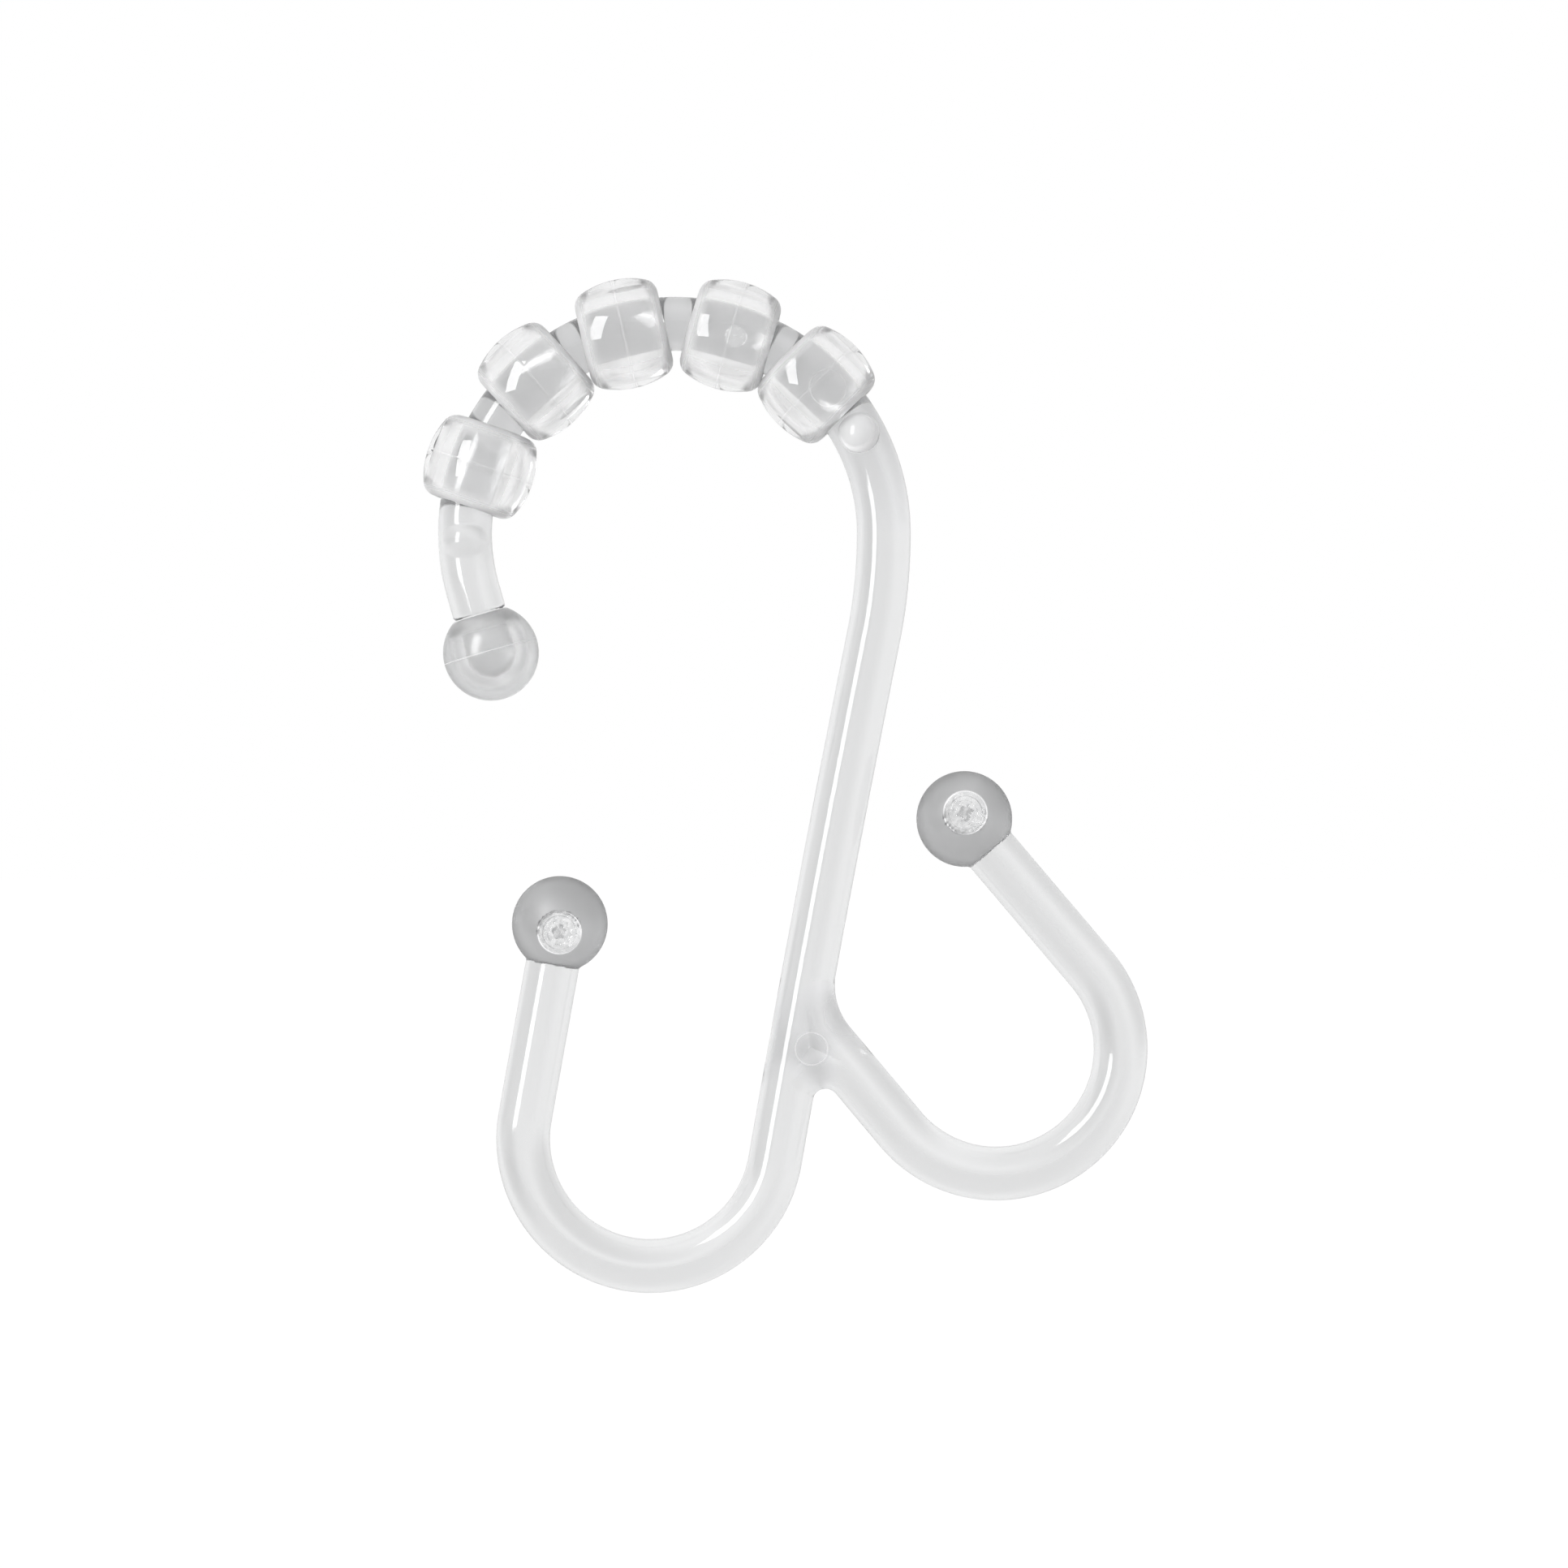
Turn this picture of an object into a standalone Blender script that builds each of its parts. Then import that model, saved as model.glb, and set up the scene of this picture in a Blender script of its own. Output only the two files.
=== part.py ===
"""Clear moulded double shower curtain hook with roller beads on its arch.

Run with blender --background --python part.py, or from the text editor.
Metres, +Z up. The hook lies in the XZ plane and is seen from -Y, with X to the right.
The origin is the middle of the arch, where the shower rail passes through along Y.
Angles are in degrees, and headings run anticlockwise from +X as seen from the front.
"""

import math

import bmesh
import bpy
from mathutils import Vector

# The rod that the whole hook is bent from
ROD_DIAMETER = 0.0048
ARCH_RADIUS = 0.01865
TIP_RUN = 0.00573  # straight, from the end of the arch to the middle of the tip ball
SHOULDER_RADIUS = 0.047  # the slack bend that leads the arch into the shank
SHANK_LEAN = 11.4
SHANK_LENGTH = 0.04745
SHANK_BOW = 1.5  # how far the shank straightens again on its way down

# The two lower hooks
LEFT_HOOK_RADIUS = 0.0113
RIGHT_HOOK_RADIUS = 0.0111
HOOK_TURN = 180.3
HOOK_ARM = 0.01745  # straight, from the bend to the middle of the end ball
END_BALL_DIAMETER = 0.00853

# The branch that carries the right hook
BRANCH_HEIGHT = 0.01355  # above the lower end of the shank, where the two axes cross
BRANCH_HEADING = -50.0
BRANCH_RUN = 0.0137
BRANCH_FILLET = 0.0058  # upper side, between shank and branch
CROTCH_FILLET = 0.00115  # lower side
ROOT_SINK = 0.00006  # how much thinner in radius a joined rod starts, inside the other
ROOT_KNOTS = 2  # over how many facets it grows to its full thickness
CROTCH_SINK = 0.00002  # how much thinner in radius the crotch's rod stays

# The round marks that two ejector pins leave
PIN_DIAMETER = 0.0029
PAD_SINK = 0.00012  # the junction's pad, below the rod's own front
ARCH_MARK_ANGLE = 43.5  # above the arch's middle, on the shank side, under the last bead
ARCH_MARK_DEPTH = 0.0004  # cut below the rod's front, so that the beads pass over it

# Roller beads
BEAD_COUNT = 5
BEAD_LENGTH = 0.0075
BEAD_DIAMETER = 0.0098
BEAD_CROWN_RADIUS = 0.0105
BEAD_CORNER_RADIUS = 0.0011
BEAD_BORE_CLEARANCE = 0.00042  # each side of the rod
BEAD_HANG = 0.00036  # the beads hang this far in from the rod's own axis
BEAD_GAP = 0.0001  # between the inner corners of two neighbours

# Stop nubs, caps of a ball on the front of the rod
STOP_NUB_ANGLE = 28.2  # above the arch's middle, on the shank side
STOP_NUB_BASE = 0.0035
STOP_NUB_RISE = 0.0013
LATCH_NUB_BASE = 0.0029
LATCH_NUB_RISE = 0.0006
NUB_GAP = 0.0001  # between the stop nub and the nearest bead
BEAD_SLACK = 0.0022  # how far the whole row of beads can slide towards the tip
LATCH_TO_TIP = 0.0045  # along the arch, from the latch nub to the end of the bend

# The ball cap on the tip
CAP_DIAMETER = 0.00853
PEG_DIAMETER = 0.0042
PEG_TIP_DIAMETER = 0.0021
PEG_DEPTH = 0.0021  # the peg's end, beyond the middle of the ball
SOCKET_GAP = 0.0001

# Facets
ROD_BEVEL_RESOLUTION = 6
ARC_STEP = 6.0
BALL_SEGMENTS = 24
TURNED_STEPS = 24
ROUND_STEPS = 4  # per rounded corner of a turned profile

ROD_RADIUS = ROD_DIAMETER / 2
BORE_RADIUS = ROD_RADIUS + BEAD_BORE_CLEARANCE
COLLECTION_NAME = "shower_curtain_hook"


def direction(heading):
    """The unit vector of a heading in the XZ plane."""
    return Vector((math.cos(math.radians(heading)), 0, math.sin(math.radians(heading))))


class RodPath:
    """The middle line of a rod, laid down as straight runs and arcs in the XZ plane."""

    def __init__(self, start, heading):
        self.points = [Vector(start)]
        self.heading = heading

    @property
    def end(self):
        return self.points[-1]

    def run(self, length):
        self.points.append(self.end + direction(self.heading) * length)

    def bend(self, radius, angle):
        """Turns left for a positive angle and right for a negative one."""
        side = math.copysign(90, angle)
        centre = self.end + direction(self.heading + side) * radius
        count = max(2, math.ceil(abs(angle) / ARC_STEP))
        for step in range(1, count + 1):
            turned = self.heading + angle * step / count
            self.points.append(centre - direction(turned + side) * radius)
        self.heading += angle

    def bow(self, length, angle):
        """A run of this length that turns a little on its way."""
        self.bend(length / math.radians(abs(angle)), angle)


# Scene and materials


def clear_scene():
    for obj in list(bpy.data.objects):
        bpy.data.objects.remove(obj, do_unlink=True)


def new_collection(name):
    made = bpy.data.collections.new(name)
    bpy.context.scene.collection.children.link(made)
    return made


def clear_plastic(name, tint, roughness):
    """Clear water-white plastic."""
    material = bpy.data.materials.new(name)
    material.use_nodes = True
    shader = material.node_tree.nodes["Principled BSDF"]
    shader.inputs["Base Color"].default_value = (*tint, 1)
    shader.inputs["Metallic"].default_value = 0
    shader.inputs["Roughness"].default_value = roughness
    shader.inputs["IOR"].default_value = 1.57
    shader.inputs["Transmission Weight"].default_value = 1
    return material


# Shapes


def smooth(mesh, sharp_angle=35):
    mesh.shade_smooth()
    mesh.set_sharp_from_angle(angle=math.radians(sharp_angle))


def mesh_object(name, fill, collection):
    """An object whose mesh is filled in by a function of a BMesh."""
    shape = bmesh.new()
    fill(shape)
    mesh = bpy.data.meshes.new(name)
    shape.to_mesh(mesh)
    shape.free()
    smooth(mesh)
    obj = bpy.data.objects.new(name, mesh)
    collection.objects.link(obj)
    return obj


def rod_object(name, points, collection, sink=lambda knot: 0.0):
    """A round rod along the points, thinner in radius by the sink, as a welded mesh."""
    curve = bpy.data.curves.new(name + "_curve", "CURVE")
    curve.dimensions = "3D"
    curve.bevel_depth = ROD_RADIUS
    curve.bevel_resolution = ROD_BEVEL_RESOLUTION
    curve.use_fill_caps = True
    spline = curve.splines.new("POLY")
    spline.points.add(len(points) - 1)
    for index, (knot, point) in enumerate(zip(spline.points, points)):
        knot.co = (*point, 1)
        knot.radius = 1 - sink(index) / ROD_RADIUS
    guide = bpy.data.objects.new(name + "_curve", curve)
    collection.objects.link(guide)
    graph = bpy.context.evaluated_depsgraph_get()
    mesh = bpy.data.meshes.new_from_object(guide.evaluated_get(graph))
    mesh.name = name
    shape = bmesh.new()
    shape.from_mesh(mesh)
    bmesh.ops.remove_doubles(shape, verts=shape.verts, dist=1e-6)
    bmesh.ops.recalc_face_normals(shape, faces=shape.faces)
    shape.to_mesh(mesh)
    shape.free()
    smooth(mesh)
    obj = bpy.data.objects.new(name, mesh)
    obj.matrix_world = guide.matrix_world
    collection.objects.link(obj)
    bpy.data.objects.remove(guide, do_unlink=True)
    return obj


def ball_object(name, centre, diameter, collection):
    def fill(shape):
        bmesh.ops.create_uvsphere(
            shape, u_segments=BALL_SEGMENTS, v_segments=BALL_SEGMENTS * 2 // 3, radius=diameter / 2
        )

    obj = mesh_object(name, fill, collection)
    obj.location = centre
    return obj


def nub_object(name, centre, base, rise, collection):
    """A low dome on the front of the rod: a ball sunk so that its cap has this base and rise."""
    radius = nub_radius(base, rise)
    front = Vector((0, -(ROD_RADIUS + rise - radius), 0))
    return ball_object(name, centre + front, radius * 2, collection)


def pin_object(name, centre, near, far, collection):
    """A short round post along Y, between these two distances in front of the rod's middle."""

    def fill(shape):
        bmesh.ops.create_cone(
            shape,
            cap_ends=True,
            segments=BALL_SEGMENTS,
            radius1=PIN_DIAMETER / 2,
            radius2=PIN_DIAMETER / 2,
            depth=far - near,
        )

    obj = mesh_object(name, fill, collection)
    obj.rotation_euler = (math.radians(90), 0, 0)
    obj.location = centre + Vector((0, -(near + far) / 2, 0))
    return obj


def turned_object(name, profile, collection, mesh=None):
    """A profile in the XZ plane, at +X, turned about Z."""
    if mesh is None:
        mesh = bpy.data.meshes.new(name)
        corners = [(radius, 0, height) for radius, height in profile]
        edges = [(index, index + 1) for index in range(len(corners) - 1)]
        closed = profile[0][0] > 0
        if closed:
            edges.append((len(corners) - 1, 0))
        mesh.from_pydata(corners, edges, [])
    obj = bpy.data.objects.new(name, mesh)
    collection.objects.link(obj)
    turn = obj.modifiers.new("turn", "SCREW")
    turn.axis = "Z"
    turn.steps = TURNED_STEPS
    turn.render_steps = TURNED_STEPS
    turn.use_merge_vertices = True
    turn.merge_threshold = 1e-6
    turn.use_smooth_shade = True
    return obj


def combine(base, part, operation="UNION", solver="EXACT"):
    """Joins a moulded feature to the body that it is one with, or cuts it out of that body."""
    part.hide_render = True
    part.display_type = "WIRE"
    step = base.modifiers.new(operation.lower() + "_" + part.name, "BOOLEAN")
    step.operation = operation
    step.solver = solver
    step.object = part


# The moulded hook


def arch_point(angle):
    """A point on the arch's middle line, by its angle from +X."""
    return direction(angle) * ARCH_RADIUS


def cap_mouth():
    """How far above the ball's middle its flat mouth lies: the mouth is as wide as the rod."""
    return math.sqrt((CAP_DIAMETER / 2) ** 2 - ROD_RADIUS**2)


def main_path():
    """From the rod's seat on the tip ball, over the arch and down the shank to the left end ball."""
    arch_start = arch_point(tip_angle())
    tip_heading = tip_angle() - 90
    seat = TIP_RUN - cap_mouth() - SOCKET_GAP
    path = RodPath(arch_start - direction(tip_heading) * seat, tip_heading)
    path.run(seat)
    path.bend(ARCH_RADIUS, -tip_angle())
    path.bend(SHOULDER_RADIUS, -SHANK_LEAN)
    upper_share = 1 - BRANCH_HEIGHT / SHANK_LENGTH
    path.bow(SHANK_LENGTH * upper_share, SHANK_BOW * upper_share)
    junction = (path.end.copy(), path.heading)
    path.bow(SHANK_LENGTH * (1 - upper_share), SHANK_BOW * (1 - upper_share))
    path.bend(LEFT_HOOK_RADIUS, -HOOK_TURN)
    path.run(HOOK_ARM)
    return path, junction


def branch_path(junction):
    """Leaves the shank on a long fillet, runs down to the right and turns up to the right end ball."""
    corner, shank_heading = junction
    turn = BRANCH_HEADING - shank_heading
    radius = BRANCH_FILLET + ROD_RADIUS
    tangent = radius * math.tan(math.radians(turn / 2))
    path = RodPath(corner - direction(shank_heading) * tangent, shank_heading)
    path.bend(radius, turn)
    path.run(BRANCH_RUN - tangent)
    path.bend(RIGHT_HOOK_RADIUS, HOOK_TURN)
    path.run(HOOK_ARM)
    return path


def crotch_path(junction):
    """A short rod round the lower side of the junction, whose inside is the crotch fillet."""
    corner, shank_heading = junction
    opening = BRANCH_HEADING - shank_heading
    radius = CROTCH_FILLET + ROD_RADIUS
    tangent = radius / math.tan(math.radians(opening / 2))
    path = RodPath(corner + direction(shank_heading) * tangent, shank_heading + 180)
    path.bend(radius, -(180 - opening))
    return path


def root_sink(knot):
    """The sink of a joined rod, this many knots from its root."""
    return ROOT_SINK * max(0, 1 - knot / ROOT_KNOTS)


def pad_centre(junction):
    """The hollow between shank, branch and crotch, where a circle touches all three middle lines."""
    corner, shank_heading = junction
    half = math.radians((BRANCH_HEADING - shank_heading) / 2)
    crotch = (CROTCH_FILLET + ROD_RADIUS) * (1 / math.sin(half) - 1)
    distance = crotch / (1 + math.sin(half))
    return corner + direction((BRANCH_HEADING + shank_heading) / 2) * distance


def bead_angles():
    """The angle of each bead round the arch, from the tip side to the shank side."""
    corner_radius_place, corner_height = bead_corner()
    inner = ARCH_RADIUS - BEAD_HANG - corner_radius_place
    lean = math.atan(corner_height / inner)
    touch = math.asin((BEAD_CORNER_RADIUS + BEAD_GAP / 2) / math.hypot(inner, corner_height))
    pitch = 2 * math.degrees(lean + touch)
    last = STOP_NUB_ANGLE + nub_offset(STOP_NUB_BASE, STOP_NUB_RISE, NUB_GAP)
    return [last + pitch * place for place in range(BEAD_COUNT)]


def bead_corner():
    """The middle of a bead's rounded corner, as radius from its bore's axis and height."""
    height = BEAD_LENGTH / 2 - BEAD_CORNER_RADIUS
    reach = math.sqrt((BEAD_CROWN_RADIUS - BEAD_CORNER_RADIUS) ** 2 - height**2)
    return BEAD_DIAMETER / 2 - BEAD_CROWN_RADIUS + reach, height


def nub_offset(base, rise, gap):
    """The angle round the arch between a bead's middle and a nub this far beyond its end."""
    radius = nub_radius(base, rise)
    centre_depth = ROD_RADIUS + rise - radius
    half_width = math.sqrt(radius**2 - max(0, BORE_RADIUS - centre_depth) ** 2)
    return math.degrees(math.asin((BEAD_LENGTH / 2 + gap + half_width) / ARCH_RADIUS))


def nub_radius(base, rise):
    return ((base / 2) ** 2 + rise**2) / (2 * rise)


def latch_nub_angle():
    """The low nub that the first bead snaps past, one row's slack beyond it."""
    return bead_angles()[-1] + nub_offset(LATCH_NUB_BASE, LATCH_NUB_RISE, BEAD_SLACK)


def tip_angle():
    """Where the arch ends on the tip side, as long as its row of beads needs it."""
    return latch_nub_angle() + math.degrees(LATCH_TO_TIP / ARCH_RADIUS)


def make_peg(collection):
    """The peg that the tip ball sits on, in line with the rod's end."""
    heading = tip_angle() - 90
    middle = arch_point(tip_angle()) - direction(heading) * TIP_RUN
    root = cap_mouth() + ROD_RADIUS
    profile = [
        (0, root),
        (PEG_DIAMETER / 2, root),
        (PEG_DIAMETER / 2, 0),
        (PEG_TIP_DIAMETER / 2, -PEG_DEPTH),
        (0, -PEG_DEPTH),
    ]
    peg = turned_object("peg", profile, collection)
    peg.location = middle
    peg.rotation_euler = (0, math.radians(90 - heading), 0)
    return peg


def make_hook_frame(parts, guides):
    path, junction = main_path()
    branch = branch_path(junction)
    crotch = crotch_path(junction)
    frame = rod_object("hook_frame", path.points, parts)
    combine(frame, rod_object("branch_rod", branch.points, guides, root_sink))
    # EXACT leaves open edges where the three rods' fronts meet in one plane
    combine(
        frame,
        rod_object(
            "crotch_rod",
            crotch.points,
            guides,
            lambda knot: CROTCH_SINK + root_sink(min(knot, len(crotch.points) - 1 - knot)),
        ),
        solver="MANIFOLD",
    )
    combine(frame, ball_object("left_end_ball", path.end, END_BALL_DIAMETER, guides))
    combine(frame, ball_object("right_end_ball", branch.end, END_BALL_DIAMETER, guides))
    stop = arch_point(STOP_NUB_ANGLE)
    combine(frame, nub_object("stop_nub", stop, STOP_NUB_BASE, STOP_NUB_RISE, guides))
    latch = arch_point(latch_nub_angle())
    combine(frame, nub_object("latch_nub", latch, LATCH_NUB_BASE, LATCH_NUB_RISE, guides))
    pad_level = ROD_RADIUS - PAD_SINK
    combine(frame, pin_object("junction_pad", pad_centre(junction), 0, pad_level, guides))
    mark = arch_point(ARCH_MARK_ANGLE)
    mark_level = ROD_RADIUS - ARCH_MARK_DEPTH
    combine(frame, pin_object("arch_mark", mark, mark_level, ROD_DIAMETER, guides), "DIFFERENCE")
    combine(frame, make_peg(guides))
    frame.data.materials.append(clear_plastic("hook_plastic", (0.96, 0.97, 0.98), 0.04))


# The roller beads


def arc(centre, radius, start, stop, steps):
    """Points along an arc of a profile, both ends included."""
    return [
        (
            centre[0] + radius * math.cos(math.radians(start + (stop - start) * step / steps)),
            centre[1] + radius * math.sin(math.radians(start + (stop - start) * step / steps)),
        )
        for step in range(steps + 1)
    ]


def bead_profile():
    """A crowned barrel with rounded corners, flat ends and a bore, as radius and height."""
    crown_centre = (BEAD_DIAMETER / 2 - BEAD_CROWN_RADIUS, 0)
    corner_radius_place, corner_height = bead_corner()
    swing = math.degrees(math.asin(corner_height / (BEAD_CROWN_RADIUS - BEAD_CORNER_RADIUS)))
    top = arc((corner_radius_place, corner_height), BEAD_CORNER_RADIUS, 90, swing, ROUND_STEPS)
    side = arc(crown_centre, BEAD_CROWN_RADIUS, swing, -swing, ROUND_STEPS)
    bottom = arc((corner_radius_place, -corner_height), BEAD_CORNER_RADIUS, -swing, -90, ROUND_STEPS)
    bore = [(BORE_RADIUS, -BEAD_LENGTH / 2), (BORE_RADIUS, BEAD_LENGTH / 2)]
    return top + side[1:-1] + bottom + bore


def make_beads(parts):
    material = clear_plastic("bead_plastic", (0.96, 0.97, 0.98), 0.03)
    mesh = None
    for number, angle in enumerate(reversed(bead_angles()), start=1):
        bead = turned_object(f"roller_bead_{number}", bead_profile(), parts, mesh)
        if mesh is None:
            mesh = bead.data
            mesh.materials.append(material)
        bead.location = direction(angle) * (ARCH_RADIUS - BEAD_HANG)
        bead.rotation_euler = (0, math.radians(180 - angle), 0)


# The tip ball


def cap_profile():
    """A ball with a flat mouth and a blind socket that follows the peg, as radius and height."""
    radius = CAP_DIAMETER / 2
    mouth = cap_mouth()
    rim = math.degrees(math.asin(mouth / radius))
    bottom = -PEG_DEPTH - SOCKET_GAP
    socket = PEG_DIAMETER / 2 + SOCKET_GAP
    tip = PEG_TIP_DIAMETER / 2 + SOCKET_GAP
    ball = arc((0, 0), radius, rim, -90, BALL_SEGMENTS // 2)
    ball[-1] = (0, -radius)
    return [(0, bottom), (tip, bottom), (socket, 0), (socket, mouth)] + ball


def make_tip_ball(parts):
    heading = tip_angle() - 90
    cap = turned_object("tip_ball_cap", cap_profile(), parts)
    cap.location = arch_point(tip_angle()) - direction(heading) * TIP_RUN
    cap.rotation_euler = (0, math.radians(90 - heading), 0)
    cap.data.materials.append(clear_plastic("cap_plastic", (0.95, 0.96, 0.96), 0.05))


clear_scene()
visible = new_collection(COLLECTION_NAME)
helpers = new_collection("joined_and_cut_features")
make_hook_frame(visible, helpers)
make_beads(visible)
make_tip_ball(visible)
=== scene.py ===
import math

import bmesh
import bpy
import numpy as np
from mathutils import Matrix, Vector


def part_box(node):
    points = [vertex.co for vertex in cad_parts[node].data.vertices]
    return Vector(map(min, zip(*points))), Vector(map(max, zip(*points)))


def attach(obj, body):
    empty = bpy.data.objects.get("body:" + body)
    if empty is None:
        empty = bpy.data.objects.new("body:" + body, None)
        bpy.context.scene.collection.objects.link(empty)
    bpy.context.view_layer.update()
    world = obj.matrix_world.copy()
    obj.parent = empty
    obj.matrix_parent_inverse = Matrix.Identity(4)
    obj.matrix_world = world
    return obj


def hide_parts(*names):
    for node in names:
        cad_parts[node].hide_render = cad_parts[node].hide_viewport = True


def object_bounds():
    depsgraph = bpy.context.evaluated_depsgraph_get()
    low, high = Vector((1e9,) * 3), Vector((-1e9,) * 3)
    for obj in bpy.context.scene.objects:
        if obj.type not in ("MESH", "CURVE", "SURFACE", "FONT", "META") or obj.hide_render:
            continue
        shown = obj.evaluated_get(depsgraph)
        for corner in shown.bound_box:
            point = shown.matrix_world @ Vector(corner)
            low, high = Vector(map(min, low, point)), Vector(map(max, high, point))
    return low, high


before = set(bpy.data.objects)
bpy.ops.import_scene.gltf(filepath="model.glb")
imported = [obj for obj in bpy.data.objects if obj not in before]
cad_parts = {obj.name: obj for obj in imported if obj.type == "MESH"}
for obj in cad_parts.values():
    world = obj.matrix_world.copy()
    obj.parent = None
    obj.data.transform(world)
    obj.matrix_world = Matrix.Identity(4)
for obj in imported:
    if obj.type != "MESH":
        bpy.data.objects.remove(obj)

cad_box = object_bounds()

# The moulded hook. One clear injection moulding: a round rod that arches over the rail, runs down
# as a shank, turns up into the left hook and throws out a branch for the right one. The end balls,
# the two nubs, the ejector pins' marks and the tip ball's peg leave the mould in one with it.

rod_radius = 0.0024
arch_radius = 0.01865
tip_angle = 196.01
tip_heading = tip_angle - 90
tip_run = 0.00573
ball_radius = 0.004265
cap_mouth = math.sqrt(ball_radius**2 - rod_radius**2)
seat_gap = 0.0001
shoulder_radius = 0.047
shoulder_turn = 11.4
shank_length = 0.04745
shank_bow = 1.5
branch_height = 0.01355
branch_share = 1 - branch_height / shank_length
branch_heading = -50.0
branch_run = 0.0137
branch_fillet = 0.0058
crotch_fillet = 0.00115
left_hook_radius = 0.0113
right_hook_radius = 0.0111
hook_turn = 180.3
hook_arm = 0.01745
tiny = 1e-9


def compass(heading):
    """The unit vector of a heading, in degrees from +X, in the hook's own plane."""
    return np.array([math.cos(math.radians(heading)), 0.0, math.sin(math.radians(heading))])


class BentRod:
    """A round rod along straight runs and arcs that lie in the hook's plane.

    A run is kept as its start, its direction and its length, and a bend as its middle, the bearing
    of its start, its angle and its radius.
    """

    def __init__(self, start, heading):
        self.end = np.array(start)
        self.heading = heading
        self.lengths = []

    def run(self, length):
        along = compass(self.heading)
        self.lengths.append((self.end, along, length, None))
        self.end = self.end + along * length

    def bend(self, radius, angle):
        side = math.copysign(90, angle)
        middle = self.end + compass(self.heading + side) * radius
        self.lengths.append((middle, self.heading - side, angle, radius))
        self.heading += angle
        self.end = middle - compass(self.heading + side) * radius

    def foot(self, points):
        """The nearest place on the middle line for each point, and how far off it is."""
        best = np.full(len(points), np.inf)
        feet = np.zeros_like(points)
        for origin, along, amount, radius in self.lengths:
            if radius is None:
                reach = np.clip((points - origin) @ along, 0, amount)
                near = origin + reach[:, None] * along
            else:
                way = math.copysign(1, amount)
                bearing = np.arctan2(points[:, 2] - origin[2], points[:, 0] - origin[0])
                swing = ((np.degrees(bearing) - along) * way) % 360
                beyond = swing - abs(amount)
                nearer_end = np.where(beyond < 360 - swing, abs(amount), 0)
                swing = np.where(beyond <= 0, swing, nearer_end)
                angle = np.radians(along + swing * way)
                outward = np.stack([np.cos(angle), 0 * angle, np.sin(angle)], axis=1)
                near = origin + radius * outward
            gap = np.linalg.norm(points - near, axis=1)
            closer = gap < best
            best[closer] = gap[closer]
            feet[closer] = near[closer]
        return feet, best


seat_run = tip_run - cap_mouth - seat_gap
arch_end = compass(tip_angle) * arch_radius
tip_ball_middle = arch_end - compass(tip_heading) * tip_run
main_rod = BentRod(arch_end - compass(tip_heading) * seat_run, tip_heading)
rod_seat = main_rod.end
main_rod.run(seat_run)
main_rod.bend(arch_radius, -tip_angle)
main_rod.bend(shoulder_radius, -shoulder_turn)
main_rod.bend(shank_length / math.radians(shank_bow), shank_bow * branch_share)
junction = main_rod.end
shank_heading = main_rod.heading
main_rod.bend(shank_length / math.radians(shank_bow), shank_bow * (1 - branch_share))
main_rod.bend(left_hook_radius, -hook_turn)
main_rod.run(hook_arm)

opening = branch_heading - shank_heading
fillet_line = branch_fillet + rod_radius
fillet_reach = fillet_line * math.tan(math.radians(opening / 2))
branch_root = junction - compass(shank_heading) * fillet_reach
branch_rod = BentRod(branch_root, shank_heading)
branch_rod.bend(fillet_line, opening)
branch_rod.run(branch_run - fillet_reach)
branch_rod.bend(right_hook_radius, hook_turn)
branch_rod.run(hook_arm)

crotch_line = crotch_fillet + rod_radius
crotch_reach = crotch_line / math.tan(math.radians(opening / 2))
crotch_root = junction + compass(shank_heading) * crotch_reach
crotch_rod = BentRod(crotch_root, shank_heading + 180)
crotch_rod.bend(crotch_line, opening - 180)
root_sink = 0.00006
root_reach = 0.0018
root_blend = 0.0005

pin_radius = 0.00145
half_opening = math.sin(math.radians(opening / 2))
pad_reach = crotch_line * (1 / half_opening - 1) / (1 + half_opening)
pad_middle = junction + compass((branch_heading + shank_heading) / 2) * pad_reach
pad_depth = 0.0011
pad_half = 0.00118
pad_edge = 0.00015
pad_foot = 0.0003
arch_mark = compass(43.5) * arch_radius
arch_mark_level = 0.0023

# Each nub is a cap of a ball: its place, the width of its foot and its rise off the rod
stop_nub = (compass(28.2) * arch_radius, 0.0035, 0.0013)
latch_nub = (compass(182.2) * arch_radius, 0.0029, 0.0006)
end_balls = (main_rod.end, branch_rod.end)
gates = (main_rod.end + (0.00009, 0, -0.00069), branch_rod.end + (0, 0, 0.00058))
gate_radius = 0.00192
gate_level = 0.00366
peg_radius = 0.0021
peg_edge = 0.0003
seat_edge = 0.0002
seat_reach = 0.005
crisp_edge = 0.0001


def blended(first, second, reach):
    """The smaller of two depths, rounded where they meet."""
    near = np.maximum(reach - np.abs(first - second), 0) / np.maximum(reach, tiny)
    return np.minimum(first, second) - near * near * reach / 4


def sheared(first, second, reach):
    """The larger of two depths, rounded where they meet."""
    return -blended(-first, -second, reach)


def disc(points, middle, radius):
    """How far each point lies outside a round that is seen from the front."""
    return np.hypot(points[:, 0] - middle[0], points[:, 2] - middle[2]) - radius


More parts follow.
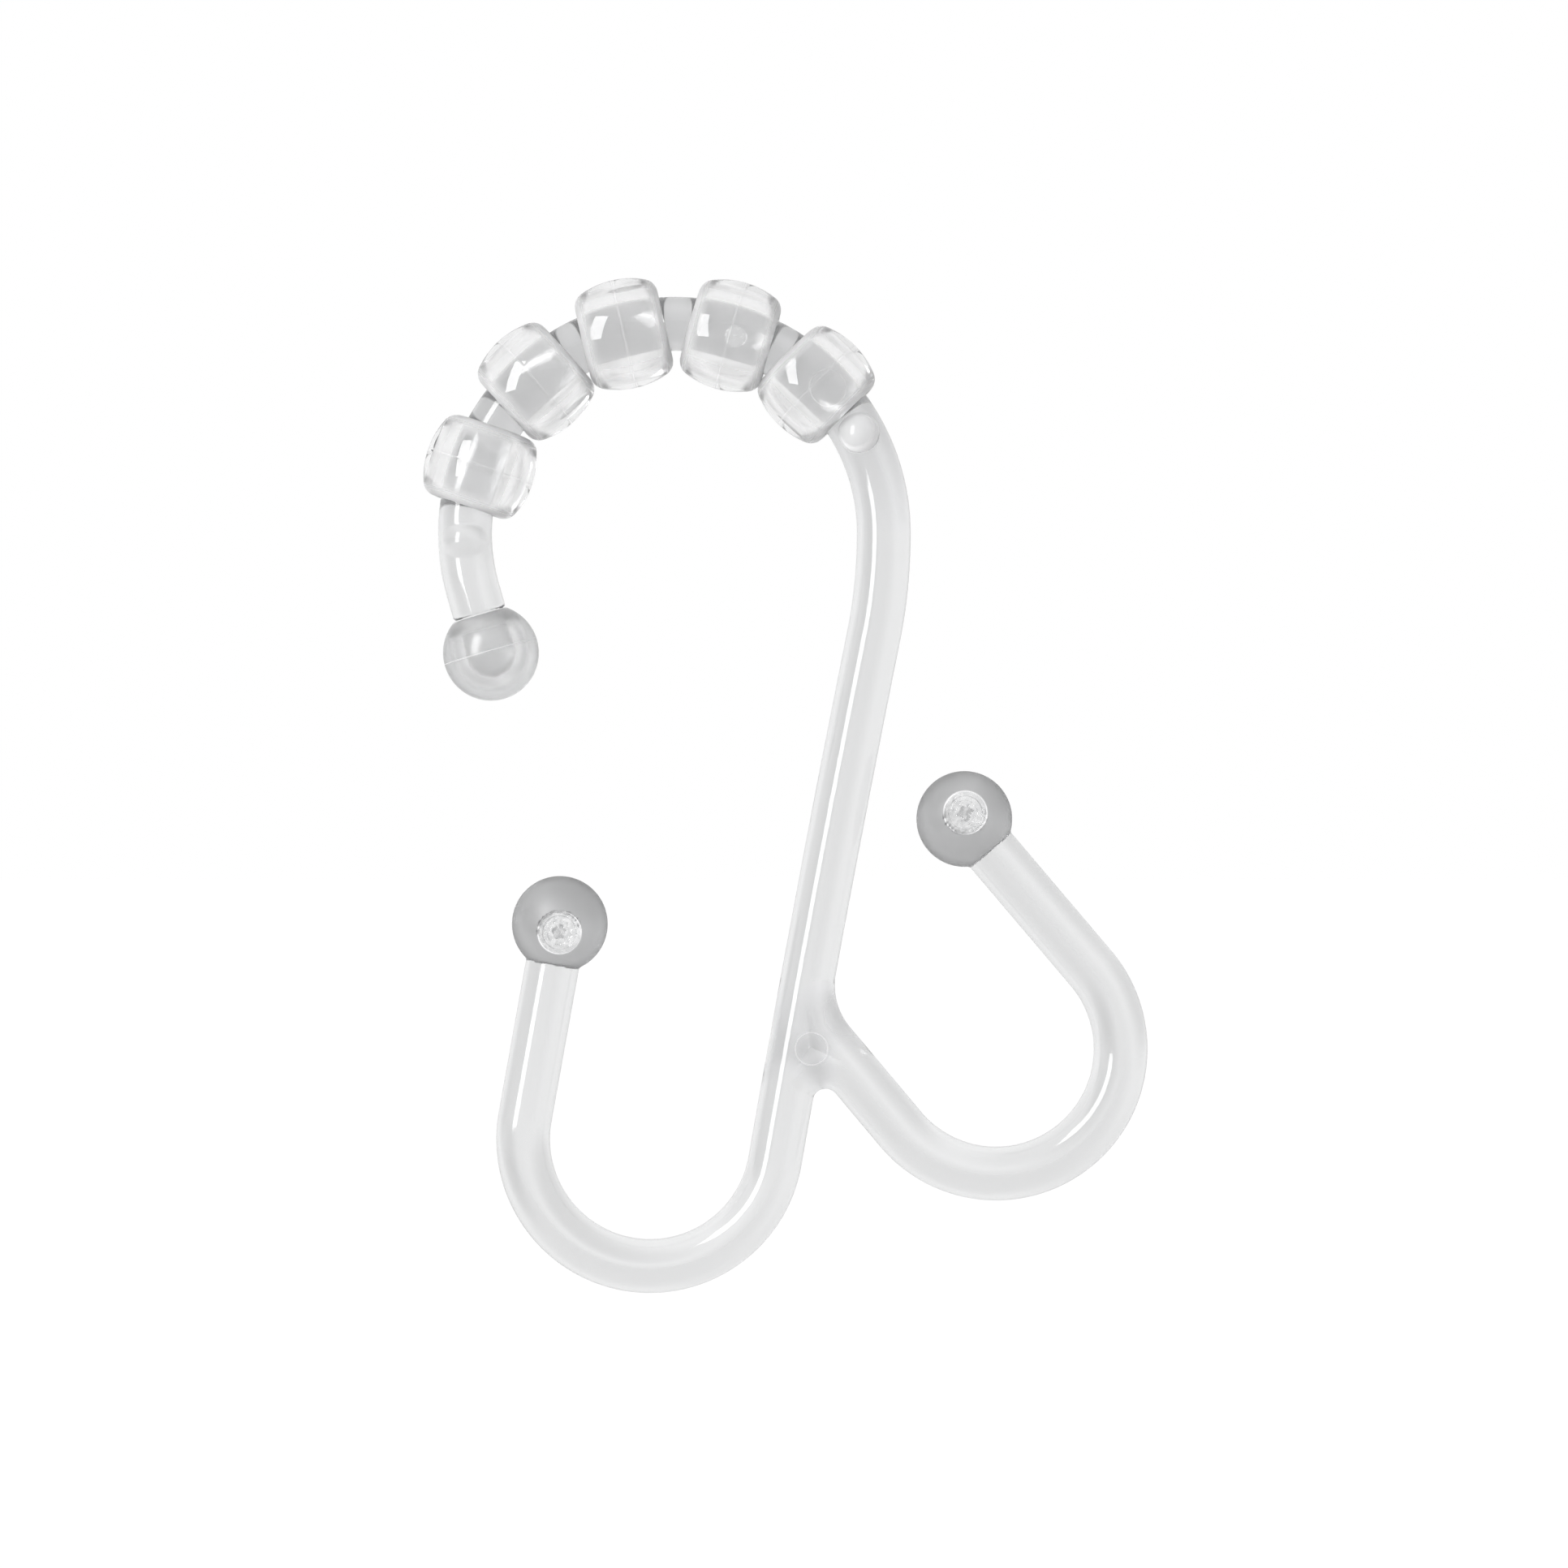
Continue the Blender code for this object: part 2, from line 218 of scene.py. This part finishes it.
def hook_depth(points):
    """How far each point lies outside the moulding's skin."""
    skins = []
    for rod, root in ((main_rod, None), (branch_rod, branch_root), (crotch_rod, crotch_root)):
        feet, away = rod.foot(points)
        outward = (points - feet) / np.maximum(away, tiny)[:, None]
        skin = away - rod_radius
        if root is not None:
            beyond = np.linalg.norm(feet - root, axis=1) / root_reach
            skin = skin + root_sink * np.clip(1 - beyond, 0, 1) ** 2
        skins.append((skin, outward))
    (shank, shank_out), (branch, branch_out), (crotch, crotch_out) = skins

    # The arch is cut square at the tip ball's mouth
    beside_seat = np.linalg.norm(points - rod_seat, axis=1) < seat_reach
    seat = np.where(beside_seat, (rod_seat - points) @ compass(tip_heading), -1)
    shank = sheared(shank, seat, seat_edge)

    # The rods run into each other, rounded only where their skins face different ways
    spread = 1 - np.sum(shank_out * branch_out, axis=1)
    body = blended(shank, branch, root_blend * np.clip(spread, 0, 1))
    to_shank = np.sum(shank_out * crotch_out, axis=1)
    to_branch = np.sum(branch_out * crotch_out, axis=1)
    spread = 1 - np.maximum(to_shank, to_branch)
    body = blended(body, crotch, root_blend * np.clip(spread, 0, 1))

    # The pin pad and the nubs stand proud, and the other pin's mark and the balls' gates are sunk
    pad_level = np.abs(points[:, 1] + pad_depth) - pad_half
    pad = sheared(disc(points, pad_middle, pin_radius), pad_level, pad_edge)
    body = blended(body, pad, pad_foot)
    for middle, base, rise in (stop_nub, latch_nub):
        dome = ((base / 2) ** 2 + rise**2) / (2 * rise)
        front = middle - np.array([0, rod_radius + rise - dome, 0])
        body = blended(body, np.linalg.norm(points - front, axis=1) - dome, crisp_edge)
    mark = disc(points, arch_mark, pin_radius)
    mark = sheared(mark, points[:, 1] + arch_mark_level, crisp_edge)
    body = sheared(body, -mark, crisp_edge)
    for middle, gate in zip(end_balls, gates):
        ball = np.linalg.norm(points - middle, axis=1) - ball_radius
        land = sheared(disc(points, gate, gate_radius), points[:, 1] + gate_level, crisp_edge)
        body = blended(body, sheared(ball, -land, crisp_edge), crisp_edge)

    # The peg has a round end in the tip ball
    down = (tip_ball_middle - points) @ compass(tip_heading)
    across = points - tip_ball_middle + down[:, None] * compass(tip_heading)
    out = np.linalg.norm(across, axis=1)
    domed = np.hypot(out, np.maximum(down, 0)) - peg_radius
    peg = np.where(down > 0, domed, out - peg_radius)
    peg = sheared(peg, -down - cap_mouth - rod_radius, peg_edge)
    return blended(body, peg, crisp_edge)


def outward_of(points):
    """The direction straight out of the skin."""
    step = 0.00002
    slopes = []
    for axis in np.eye(3) * step:
        slopes.append(hook_depth(points + axis) - hook_depth(points - axis))
    slope = np.stack(slopes, axis=1)
    return slope / np.maximum(np.linalg.norm(slope, axis=1), tiny)[:, None]


def lattice(count):
    """The cells of a regular grid, by their steps from its lowest corner."""
    steps = np.meshgrid(*[np.arange(number) for number in count], indexing="ij")
    return np.stack(steps, axis=-1).reshape(-1, 3)


# The grid is coarse away from the skin and fine beside it
grid = 0.00025
coarse = 4
block = grid * coarse
margin = 0.0005
lowest = np.array(cad_box[0]) - margin
block_count = np.ceil((np.array(cad_box[1]) + margin - lowest) / grid / coarse).astype(int)
blocks = lattice(block_count)
block_depth = hook_depth(lowest + (blocks + 0.5) * block)
depth = block_depth.reshape(block_count)
for axis in range(3):
    depth = np.repeat(depth, coarse, axis)
close = blocks[np.abs(block_depth) < block]
fine = (close[:, None, :] * coarse + lattice((coarse, coarse, coarse))[None, :, :]).reshape(-1, 3)
depth[tuple(fine.T)] = hook_depth(lowest + fine * grid)
solid = depth < 0

# One point in each cell that the skin crosses, and one face over each crossed line of the grid,
# turned to face out of the plastic
wide, deep, high = (length - 1 for length in solid.shape)
corners = sum(
    solid[x : x + wide, y : y + deep, z : z + high].astype(np.int8)
    for x in (0, 1)
    for y in (0, 1)
    for z in (0, 1)
)
crossed = (corners > 0) & (corners < 8)
point_number = np.full(crossed.shape, -1)
point_number[crossed] = np.arange(crossed.sum())
points = lowest + (np.argwhere(crossed) + 0.5) * grid
faces = []
for axis in range(3):
    inside = np.moveaxis(solid, axis, 0)
    change = inside[:-1].astype(int) - inside[1:]
    placed = np.moveaxis(point_number, axis, 0)
    at, over, up = np.nonzero(change[:, 1:-1, 1:-1])
    low_side = [placed[at, over, up], placed[at, over + 1, up]]
    high_side = [placed[at, over + 1, up + 1], placed[at, over, up + 1]]
    quads = np.stack(low_side + high_side, axis=1)
    flip = (change[at, over + 1, up + 1] < 0) != (axis == 1)
    quads[flip] = quads[flip][:, ::-1]
    faces.append(quads)
skin = bpy.data.meshes.new("clear_hook")
skin.from_pydata(points, [], np.vstack(faces))

# The points even out along the skin, and are set back on it each time
pairs = np.empty(len(skin.edges) * 2, dtype=np.int32)
skin.edges.foreach_get("vertices", pairs)
pairs = pairs.reshape(-1, 2)
neighbours = np.bincount(pairs.ravel(), minlength=len(points))[:, None]
own_share = 0.3
neighbours_share = 0.7
evening_rounds = 5
for _ in range(evening_rounds):
    around = np.zeros_like(points)
    for axis in range(3):
        around[:, axis] += np.bincount(pairs[:, 0], points[pairs[:, 1], axis], len(points))
        around[:, axis] += np.bincount(pairs[:, 1], points[pairs[:, 0], axis], len(points))
    points = points * own_share + around / neighbours * neighbours_share
    points = points - outward_of(points) * hook_depth(points)[:, None]
points = points - outward_of(points) * hook_depth(points)[:, None]
skin.vertices.foreach_set("co", points.ravel())
skin.shade_smooth()
skin.normals_split_custom_set_from_vertices(outward_of(points))
hook = bpy.data.objects.new("clear_hook", skin)
bpy.context.collection.objects.link(hook)


class Strand:
    """One value in a material: arithmetic on it adds Math nodes, and node() adds any other."""

    def __init__(self, tree, socket=None):
        self.tree = tree
        self.socket = socket

    def node(self, kind, settings=None, sockets=None, out=0):
        made = self.tree.nodes.new("ShaderNode" + kind)
        for name, value in (settings or {}).items():
            setattr(made, name, value)
        for name, value in (sockets or {}).items():
            if isinstance(value, Strand):
                self.tree.links.new(value.socket, made.inputs[name])
            else:
                made.inputs[name].default_value = value
        return Strand(self.tree, made.outputs[out])

    def maths(self, operation, *values):
        return self.node("Math", {"operation": operation}, dict(enumerate(values)))

    def __add__(self, other):
        return self.maths("ADD", self, other)

    def __sub__(self, other):
        return self.maths("SUBTRACT", self, other)

    def __mul__(self, other):
        return self.maths("MULTIPLY", self, other)

    def __rsub__(self, other):
        return self.maths("SUBTRACT", other, self)

    __radd__ = __add__
    __rmul__ = __mul__

    def away_from(self, place):
        """How far this place is from another."""
        places = {0: self, 1: tuple(place)}
        return self.node("VectorMath", {"operation": "DISTANCE"}, places, "Value")

    def only(self, *axes):
        """This place with the other axes' share left out."""
        kept = {"operation": "MULTIPLY"}
        return self.node("VectorMath", kept, {0: self, 1: tuple(int(a in axes) for a in "XYZ")})

    def between(self, none, whole):
        """0 at one value and 1 at the other, straight in between and level outside."""
        return self.node("MapRange", None, {"Value": self, "From Min": none, "From Max": whole})

    def inside(self, limit, edge):
        """1 where the value is under the limit, fading to 0 over the edge."""
        fade = {"From Min": limit + edge / 2, "From Max": limit - edge / 2, "Value": self}
        return self.node("MapRange", {"interpolation_type": "SMOOTHSTEP"}, fade)

    def noise(self, scale, detail, roughness=0.5):
        sockets = {"Vector": self, "Scale": scale, "Detail": detail, "Roughness": roughness}
        return self.node("TexNoise", None, sockets, "Fac")

    def greys(self, low, high):
        """A grey between two, by this value."""
        ends = {6: (low, low, low * bluish, 1), 7: (high, high, high * bluish, 1)}
        return self.node("Mix", {"data_type": "RGBA"}, {"Factor": self, **ends}, 2)


bluish = 1.006
plastic_index = 1.57


def clear_plastic(name, clouding):
    """Clear plastic on a Principled shader, and the place on the piece to paint it by."""
    material = bpy.data.materials.new(name)
    material.use_nodes = True
    tree = material.node_tree
    shader = tree.nodes["Principled BSDF"]
    shader.inputs["Base Color"].default_value = (1, 1, bluish, 1)
    shader.inputs["IOR"].default_value = plastic_index
    shader.inputs["Transmission Weight"].default_value = 1
    inner = {"Color": (0.02, 0.04, 0.06, 1), "Density": clouding}
    smoke = Strand(tree).node("VolumeAbsorption", None, inner, "Volume")
    tree.links.new(smoke.socket, tree.nodes["Material Output"].inputs["Volume"])
    place = Strand(tree).node("TexCoord", out="Object")
    return material, shader, place


def feed(shader, name, strand):
    strand.tree.links.new(strand.socket, shader.inputs[name])


def raise_skin(shader, height):
    """Gives the surface a fine relief, in metres."""
    bump = {"Height": height, "Distance": 1, "Strength": 1}
    feed(shader, "Normal", height.node("Bump", None, bump, "Normal"))


def whiten(shader, amount):
    """Whitens the plastic where a tool or a cut left it rough, and as painted light."""
    tree = amount.tree
    rough = {"Base Color": (0.9, 0.9, 0.905, 1), "Roughness": 0.6}
    white = amount.node("BsdfPrincipled", None, rough)
    both = {0: amount, 1: Strand(tree, shader.outputs[0]), 2: white}
    mixed = amount.node("MixShader", None, both)
    tree.links.new(mixed.socket, tree.nodes["Material Output"].inputs["Surface"])


def ring(away, radius, width):
    """1 on a circle at a distance, fading out either side."""
    off = away - radius
    return off.maths("ABSOLUTE", off).inside(width / 2, width / 2)


hook_plastic, shader, place = clear_plastic("clear_hook_plastic", 38)
grain = place.noise(2400, 3, 0.6)
speck = grain.between(0.42, 0.62)
flow = place.noise(260, 1)
line_width = 0.00012
window_radius = 0.0021
window_level = 0.0036
pit_radius = 0.00105
grooves_cut = ((0.00096, 0.00024), (0.00140, 0.00018))

# Each end ball is satin and greyed by painted shade, but for the gate's rough land in front,
# with a white rim, grooves and a pit darkened by painted shade, and a clear window behind
ball = 0
land = 0
window = 0
pit = 0
rims = 0
grooves = 0
for middle, gate in zip(end_balls, gates):
    ball = ball + place.away_from(middle).inside(ball_radius + 0.00004, 0.00004)
    front = place.away_from(gate - (0, gate_level, 0))
    back = place.away_from(gate + (0, window_level, 0))
    land = land + front.inside(gate_radius, 0.0001)
    window = window + back.inside(window_radius, 0.0002)
    pit = pit + (front + grain * 0.0010).inside(pit_radius, 0.0003)
    rims = rims + ring(front, gate_radius, line_width)
    for radius, width in grooves_cut:
        grooves = grooves + ring(front, radius, width)
satin_and_painted_shade = ball * (1 - land) * (1 - window)

# Painted shade: the arch is greyer than the shank, and so are soft places about the junction:
# across, up, how wide and how much darker
arch_start = 0.0
arch_full = 0.012
arch = place.node("SeparateXYZ", None, {0: place}, "Z").between(arch_start, arch_full)
painted_junction_shades = (
    (0.0119, -0.0462, 0.0026, 0.7),
    (0.0128, -0.0432, 0.0034, 0.35),
    (0.0150, -0.0440, 0.0024, 0.35),
    (0.0084, -0.0440, 0.0028, 0.5),
    (0.0080, -0.0466, 0.0028, 0.5),
    (0.0130, -0.0482, 0.0018, 0.4),
)
flat = place.only("X", "Z")
root = 0
for east, north, width, darker in painted_junction_shades:
    root = root + flat.away_from((east, 0, north)).inside(width / 2, width) * darker
# The base colour is painted shade: grey on the balls, in the pits, on the arch and about the
# junction
feed(shader, "Base Color", (satin_and_painted_shade + pit + arch * 0.4 + root * 0.73).greys(1.0, 0.45))

inside_cap = 0.0042
hairline = 0.00002
peg = place.away_from(tip_ball_middle).inside(inside_cap, hairline)
feed(shader, "Roughness", satin_and_painted_shade * 0.35 + peg * 0.1 + 0.09)
raise_skin(shader, flow * 0.0000015 + land * (grain * 0.00012 - grooves * 0.00003) - pit * 0.0001)

# White edges round the pins' marks, and the stop nub's frosted dome with a painted highlight on it
pad_face = pad_middle - (0, pad_depth + pad_half, 0)
mark_face = arch_mark - (0, rod_radius, 0)
pins = ring(place.away_from(pad_face), pin_radius, line_width)
pins = pins + ring(place.away_from(mark_face), pin_radius, line_width) * 1.5
nub_middle = stop_nub[0] - (0, 0.00185, 0)
nub_dome = ring(place.away_from(nub_middle), 0.00184, 0.0001)
nub_front = stop_nub[0] - (0, 0.0030, 0)
# A painted highlight: a bright crescent low on the nub's right
bright_round = place.away_from(nub_front + (0.00005, 0, -0.00005)).inside(0.00172, 0.0002)
plain_round = place.away_from(nub_front + (-0.00028, 0, 0.00028)).inside(0.0016, 0.0004)
highlight_crescent = bright_round * (1 - plain_round)
scuffs_and_highlight = land * speck * 0.35 + rims * 0.7 + pins * 0.25 + nub_dome * 0.35 + highlight_crescent * 0.8

# A faint haze all over, thicker on the balls, and painted light at the latch nub and where the
# branch leaves
hook_haze = 0.05
painted_light_at_latch = place.away_from(latch_nub[0]).inside(0.0030, 0.0030)
painted_light_by_branch = place.away_from((0.0144, 0, -0.0432)).inside(0.0026, 0.002)
painted_light_by_branch = painted_light_by_branch + place.away_from((0.0083, 0.001, -0.0452)).inside(0.0024, 0.002)
whiten(shader, scuffs_and_highlight + painted_light_by_branch * 0.35 + satin_and_painted_shade * 0.05 + painted_light_at_latch * 0.15 + hook_haze)
skin.materials.append(hook_plastic)
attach(hook, "hook")
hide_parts("hook_frame")

# The roller beads. Five clear barrels, each moulded with a bore a little wider than the rod and
# threaded on the arch from the tip. They hang loose on the rod and roll when the hook glides
# along the rail.

bead_length = 0.0075
bead_radius = 0.0049
bead_crown = 0.0077
bead_corner = 0.0014
bore_radius = rod_radius + 0.00042
turned_steps = 240


def sweep(middle, radius, start, stop, steps):
    """Points on an arc of a turned profile, both ends included."""
    turns = np.radians(np.linspace(start, stop, steps + 1))
    return [(middle[0] + radius * math.cos(t), middle[1] + radius * math.sin(t)) for t in turns]


def turned(name, profile, closed):
    """A profile of radii and heights, turned about +Z."""
    shape = bmesh.new()
    turns = [2 * math.pi * step / turned_steps for step in range(turned_steps)]
    rings = []
    for radius, height in profile:
        if radius == 0:
            rings.append([shape.verts.new((0, 0, height))] * turned_steps)
            continue
        places = [(radius * math.cos(turn), radius * math.sin(turn), height) for turn in turns]
        rings.append([shape.verts.new(place) for place in places])
    strips = list(zip(rings, rings[1:]))
    if closed:
        strips.append((rings[-1], rings[0]))
    for lower, upper in strips:
        for step in range(turned_steps):
            beyond = (step + 1) % turned_steps
            corners = [lower[step], lower[beyond], upper[beyond], upper[step]]
            shape.faces.new(list(dict.fromkeys(corners)))
    bmesh.ops.recalc_face_normals(shape, faces=shape.faces)
    mesh = bpy.data.meshes.new(name)
    shape.to_mesh(mesh)
    shape.free()
    mesh.shade_smooth()
    mesh.set_sharp_from_angle(angle=math.radians(35))
    obj = bpy.data.objects.new(name, mesh)
    bpy.context.collection.objects.link(obj)
    return obj


def threaded(obj, middle, axis, roll):
    """Stands a turned piece on its axis in the hook's plane, rolled to an angle about it."""
    lean = Matrix.Rotation(math.atan2(axis[0], axis[2]), 4, "Y")
    rolled = Matrix.Rotation(math.radians(roll), 4, "Z")
    obj.matrix_world = Matrix.Translation(Vector(middle)) @ lean @ rolled


def off_axis(place):
    """How far out from a turned piece's own axis."""
    flat = place.only("X", "Y")
    return flat.node("VectorMath", {"operation": "LENGTH"}, {0: flat}, "Value")


# The crown runs into round corners, stands up in a fine seam at its middle, and the ends turn into
# the bore over a small lip
corner_height = bead_length / 2 - bead_corner
corner_line = math.sqrt((bead_crown - bead_corner) ** 2 - corner_height**2)
corner_out = bead_radius - bead_crown + corner_line
crown_swing = math.degrees(math.asin(corner_height / (bead_crown - bead_corner)))
seam_swing = 0.3
lip = 0.00015
seam = 0.00001
bead_profile = sweep((corner_out, corner_height), bead_corner, 90, crown_swing, 32)
crown = sweep((bead_radius - bead_crown, 0), bead_crown, crown_swing, seam_swing, 20)[1:]
bead_profile += crown + [(bead_radius + seam, 0)] + [(out, -up) for out, up in reversed(crown)]
bead_profile += sweep((corner_out, -corner_height), bead_corner, -crown_swing, -90, 32)
bead_profile += sweep((bore_radius + lip, lip - bead_length / 2), lip, -90, -180, 4)
bead_profile += sweep((bore_radius + lip, bead_length / 2 - lip), lip, 180, 90, 4)

# The bore is a little rough, the corners are rubbed and whitened, the white partly painted light,
# and the mould's two halves left a fine line
bead_plastic, shader, place = clear_plastic("clear_bead_plastic", 11)
grain = place.noise(2400, 3, 0.6)
bore = off_axis(place).inside(bore_radius + 0.00005, 0.00005)
gate_middle = (bead_radius, 0, -0.00063)
bead_gate = place.away_from(gate_middle).inside(0.00095, 0.0002)
along = place.node("SeparateXYZ", None, {0: place}, "Z")
parting = ring(along, 0.0, 0.00008) * (1 - bore)
rubbed_and_painted_light = along.maths("ABSOLUTE", along).between(0.0024, 0.0034) * (1 - bore)
bead_haze = 0.03
raise_skin(shader, bead_gate * grain * 0.00012)
feed(shader, "Roughness", bore * 0.15 + rubbed_and_painted_light * 0.3 + 0.015)
whiten(shader, bead_gate * grain * 0.4 + parting * 0.22 + rubbed_and_painted_light * 0.38 + bead_haze)

# How far each bead has slid towards the tip, and how far it has rolled
bead_slides = (0.0001, 0.00015, 0.0004, 0.00005, 0.0004)
bead_rolls = (70, 150, 20, -93, 120)
for bead_number, (slide, roll) in enumerate(zip(bead_slides, bead_rolls), 1):
    low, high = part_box(f"roller_bead_{bead_number}")
    middle = (Vector(low) + Vector(high)) / 2
    axis = Vector((-middle.z, 0, middle.x)).normalized()
    bead = turned(f"clear_bead_{bead_number}", bead_profile, True)
    threaded(bead, middle + axis * slide, axis, roll)
    bead.data.materials.append(bead_plastic)
    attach(bead, f"bead_{bead_number}")
    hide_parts(f"roller_bead_{bead_number}")

# The tip ball. A clear ball with a flat mouth and a blind socket, pressed over the peg at the end
# of the rod once the beads are on, so that they can't run off.

socket = 0.0022
cap_profile = [(0, -socket)] + sweep((0, 0), socket, -90, 0, 16)[1:] + [(socket, cap_mouth)]
mouth_angle = math.degrees(math.asin(cap_mouth / ball_radius))
cap_profile += sweep((0, 0), ball_radius, mouth_angle, -90, 48)[:-1] + [(0, -ball_radius)]
cap = turned("clear_tip_ball", cap_profile, False)
threaded(cap, tip_ball_middle, compass(tip_heading), -60)

# The socket and the mouth are smoother than the outside, and whitened where the peg was pressed
# in, the white partly painted light
cap_plastic, shader, place = clear_plastic("clear_cap_plastic", 48)
flow = place.noise(300, 1)
along = place.node("SeparateXYZ", None, {0: place}, "Z")
mouth_level = 0.00345
socket_wall = place.away_from((0, 0, 0)).inside(inside_cap, hairline)
socket_wall = socket_wall.maths("MAXIMUM", socket_wall, 1 - along.inside(mouth_level, hairline))
parting = ring(along, 0.0001, 0.00009) * (1 - socket_wall)
pressed_and_painted_light = along.between(0.0012, 0.0030) * socket_wall
raise_skin(shader, flow * 0.000006)
feed(shader, "Roughness", 0.22 - socket_wall * 0.07)
whiten(shader, parting * 0.35 + pressed_and_painted_light * 0.8)
cap.data.materials.append(cap_plastic)
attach(cap, "hook")
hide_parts("tip_ball_cap")

# The table and the studio. A plain white table some way under the hanging hook, white all round,
# and one tall softbox on the left of the camera.

view_middle = Vector((0.00976, 0, -0.02234))
view_width = 0.13968
camera_away = 0.6
sensor_width = 36
camera_data = bpy.data.cameras.new("camera")
camera_data.sensor_width = sensor_width
camera_data.lens = sensor_width * camera_away / view_width
camera_data.clip_end = 50
camera = bpy.data.objects.new("camera", camera_data)
camera.location = view_middle + Vector((0, -camera_away, 0))
camera.rotation_euler = (math.radians(90), 0, 0)
bpy.context.collection.objects.link(camera)
bpy.context.scene.camera = camera

table_mesh = bpy.data.meshes.new("table")
table_height = cad_box[0][2] - 0.02
table_reach = 4
quarters = ((-1, -1), (1, -1), (1, 1), (-1, 1))
table_corners = [(x * table_reach, y * table_reach, table_height) for x, y in quarters]
table_mesh.from_pydata(table_corners, [], [(0, 1, 2, 3)])
table = bpy.data.objects.new("table", table_mesh)
bpy.context.collection.objects.link(table)

# The grey cards that shade clear plastic, the same before and behind the hook: the azimuth and
# the elevation of each, how wide it is and how much darker, in degrees but for the last
grey_cards = (
    (8, 14, 34, 0.12),
    (-38, -32, 38, 0.24),
    (36, -36, 30, 0.12),
    (-35, 32, 28, 0.06),
    (28, -8, 24, 0.2),
)


def towards_side(azimuth, elevation, ahead):
    """The unit vector of a direction from the hook, by its angles to the camera's line."""
    side, up = math.radians(azimuth), math.radians(elevation)
    level = math.cos(up)
    return (math.sin(side) * level, math.cos(side) * level * ahead, math.sin(up))


def surroundings(towards):
    """How white the studio is in a direction."""
    across, along, up = [towards.node("SeparateXYZ", None, {0: towards}, a) for a in "XYZ"]
    ahead = along.maths("ABSOLUTE", along)
    folded = towards.node("CombineXYZ", None, {0: across, 1: ahead, 2: up})
    level = 1.0
    for azimuth, elevation, width, darker in grey_cards:
        card = towards_side(azimuth, elevation, 1)
        dot = {"operation": "DOT_PRODUCT"}
        near = towards.node("VectorMath", dot, {0: folded, 1: card}, "Value")
        edge = {"Value": near, "From Min": math.cos(math.radians(width)), "From Max": 1.0}
        shade = near.node("MapRange", {"interpolation_type": "SMOOTHSTEP"}, edge)
        level = level - shade * darker
    return level


def seen_ray(strand):
    """1 for what the camera sees, straight or through the plastic, and 0 for light on a surface."""
    kinds = ("Camera", "Glossy", "Transmission")
    straight, glossy, through = [strand.node("LightPath", out=f"Is {kind} Ray") for kind in kinds]
    either = glossy.maths("MAXIMUM", glossy, through)
    return straight.maths("MAXIMUM", straight, either), straight


table_white = bpy.data.materials.new("table_white")
table_white.use_nodes = True
tree = table_white.node_tree
tree.nodes.clear()
strand = Strand(tree)
seen, straight = seen_ray(strand)
place = strand.node("TexCoord", out="Object")
offset = place.node("VectorMath", {"operation": "SUBTRACT"}, {0: place, 1: tuple(view_middle)})
towards = place.node("VectorMath", {"operation": "NORMALIZE"}, {0: offset})
level = straight.maths("MAXIMUM", straight, surroundings(towards))
plain = strand.node("BsdfDiffuse", None, {"Color": (0.8, 0.8, 0.8, 1)})
faint = strand.node("BsdfDiffuse", None, {"Color": (0.1, 0.1, 0.1, 1)})
glow = strand.node("Emission", None, {"Color": (1, 1, 1, 1), "Strength": level * 0.95})
bright = strand.node("AddShader", None, {0: faint, 1: glow})
surface = strand.node("MixShader", None, {0: seen, 1: plain, 2: bright})
output = tree.nodes.new("ShaderNodeOutputMaterial")
tree.links.new(surface.socket, output.inputs["Surface"])
table_mesh.materials.append(table_white)

bpy.context.scene.view_settings.view_transform = "Standard"
bpy.context.scene.cycles.max_bounces = 40
bpy.context.scene.cycles.transmission_bounces = 40
soft_daylight = 0.65
world = bpy.data.worlds.new("studio")
bpy.context.scene.world = world
world.use_nodes = True
tree = world.node_tree
tree.nodes.clear()
strand = Strand(tree)
seen, straight = seen_ray(strand)
sky = surroundings(strand.node("TexCoord", out="Generated"))
level = straight.maths("MAXIMUM", straight, sky)
lit = level * seen + (1 - seen) * soft_daylight
glow = strand.node("Background", None, {"Color": (1, 1, 1, 1), "Strength": lit})
output = tree.nodes.new("ShaderNodeOutputWorld")
tree.links.new(glow.socket, output.inputs["Surface"])


def softbox(name, azimuth, elevation, away, width, height, radiance):
    """A soft light that faces the hook, by its place round the camera's line."""
    back = Vector(towards_side(azimuth, elevation, -1))
    light = bpy.data.lights.new(name, "AREA")
    light.shape = "RECTANGLE"
    light.size = width
    light.size_y = height
    light.energy = radiance * math.pi * width * height
    lamp = bpy.data.objects.new(name, light)
    lamp.location = view_middle + back * away
    lamp.rotation_euler = back.to_track_quat("Z", "Y").to_euler()
    bpy.context.collection.objects.link(lamp)


softbox("tall_softbox", azimuth=-40, elevation=18, away=0.4, width=0.125, height=0.32, radiance=9)
